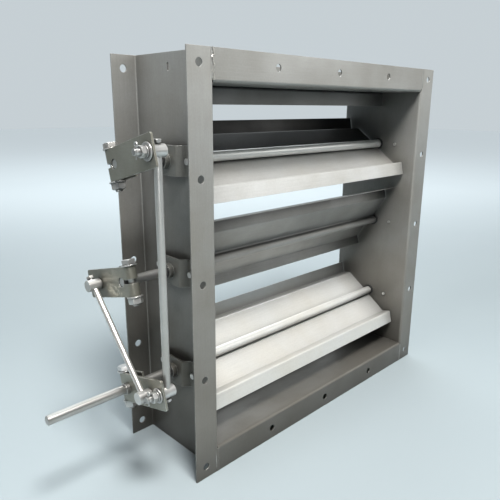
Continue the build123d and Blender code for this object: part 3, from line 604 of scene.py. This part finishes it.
floor = stage_plane("floor", 24.0, FLOOR_Z - 0.0002)
fm = bpy.data.materials.new("floor_pale")
nt = nodes_of(fm)
o_ = nt.nodes.new("ShaderNodeOutputMaterial")
b_ = nt.nodes.new("ShaderNodeBsdfPrincipled")
b_.inputs["Roughness"].default_value = 0.8
t_ = nt.nodes.new("ShaderNodeTexNoise")
t_.inputs["Scale"].default_value = 3.0
c_ = nt.nodes.new("ShaderNodeTexCoord")
nt.links.new(c_.outputs["Object"], t_.inputs["Vector"])
m_ = nt.nodes.new("ShaderNodeMix")
m_.data_type = "RGBA"
m_.inputs["A"].default_value = (0.29, 0.335, 0.355, 1)
m_.inputs["B"].default_value = (0.31, 0.355, 0.37, 1)
nt.links.new(t_.outputs["Fac"], m_.inputs["Factor"])
nt.links.new(m_.outputs["Result"], b_.inputs["Base Color"])
# painted light: the floor glows by emission, from none near the object to a pale studio sweep away from it
d_ = nt.nodes.new("ShaderNodeVectorMath")
d_.operation = "DOT_PRODUCT"
d_.inputs[1].default_value = (0.62, 0.78, 0.0)
nt.links.new(c_.outputs["Object"], d_.inputs[0])
e_ = nt.nodes.new("ShaderNodeMapRange")
e_.interpolation_type = "SMOOTHSTEP"
e_.inputs["From Min"].default_value = 0.25
e_.inputs["From Max"].default_value = 2.6
e_.inputs["To Min"].default_value = 0.0
e_.inputs["To Max"].default_value = 0.50
nt.links.new(d_.outputs["Value"], e_.inputs["Value"])
b_.inputs["Emission Color"].default_value = (0.86, 0.95, 1.0, 1)
nt.links.new(e_.outputs["Result"], b_.inputs["Emission Strength"])
nt.links.new(b_.outputs["BSDF"], o_.inputs["Surface"])
floor.data.materials.append(fm)


def area(name, loc, target, size, power, colour=(1, 1, 1), size_y=None):
    d = bpy.data.lights.new(name, "AREA")
    d.energy = power
    d.color = colour
    d.size = size
    if size_y:
        d.shape = "RECTANGLE"
        d.size_y = size_y
    o = bpy.data.objects.new(name, d)
    scene.collection.objects.link(o)
    o.location = loc
    o.rotation_mode = "QUATERNION"
    o.rotation_quaternion = (Vector(target) - Vector(loc)).to_track_quat("-Z", "Y")
    return o


area("key", (-0.50, -0.80, 1.80), (0.0, 0.05, 0.0), 0.55, 84.0, (1.0, 0.995, 0.98))
area("front_right", (1.7, -1.5, 0.75), (0.0, 0.0, 0.12), 1.0, 6.5, (1.0, 0.985, 0.96))
area("left_high", (-1.5, 0.10, 1.5), (-0.25, 0.1, 0.1), 0.7, 13.0, (0.97, 0.98, 1.0))
area("front_low", (-1.3, -1.7, -0.05), (0.1, 0.0, -0.05), 0.35, 1.6, (1.0, 1.0, 1.0))
area("floor_back", (1.7, 2.2, 2.2), (1.4, 1.9, -0.3), 2.6, 70.0, (0.93, 0.98, 1.0))

world = bpy.data.worlds.new("world")
scene.world = world
world.use_nodes = True
wn = world.node_tree
for n in list(wn.nodes):
    wn.nodes.remove(n)
wo = wn.nodes.new("ShaderNodeOutputWorld")
bg = wn.nodes.new("ShaderNodeBackground")
wtc = wn.nodes.new("ShaderNodeTexCoord")
wdot = wn.nodes.new("ShaderNodeVectorMath")
wdot.operation = "DOT_PRODUCT"
wdot.inputs[1].default_value = (0.70, 0.70, 0.12)
wn.links.new(wtc.outputs["Generated"], wdot.inputs[0])
wmr = wn.nodes.new("ShaderNodeMapRange")
wmr.interpolation_type = "SMOOTHSTEP"
wmr.inputs["From Min"].default_value = -0.25
wmr.inputs["From Max"].default_value = 0.80
wmr.inputs["To Min"].default_value = 0.07
wmr.inputs["To Max"].default_value = 0.66
wn.links.new(wdot.outputs["Value"], wmr.inputs["Value"])
bg.inputs["Color"].default_value = (0.86, 0.95, 1.0, 1)
wn.links.new(wmr.outputs["Result"], bg.inputs["Strength"])
wn.links.new(bg.outputs["Background"], wo.inputs["Surface"])

scene.view_settings.view_transform = "Standard"
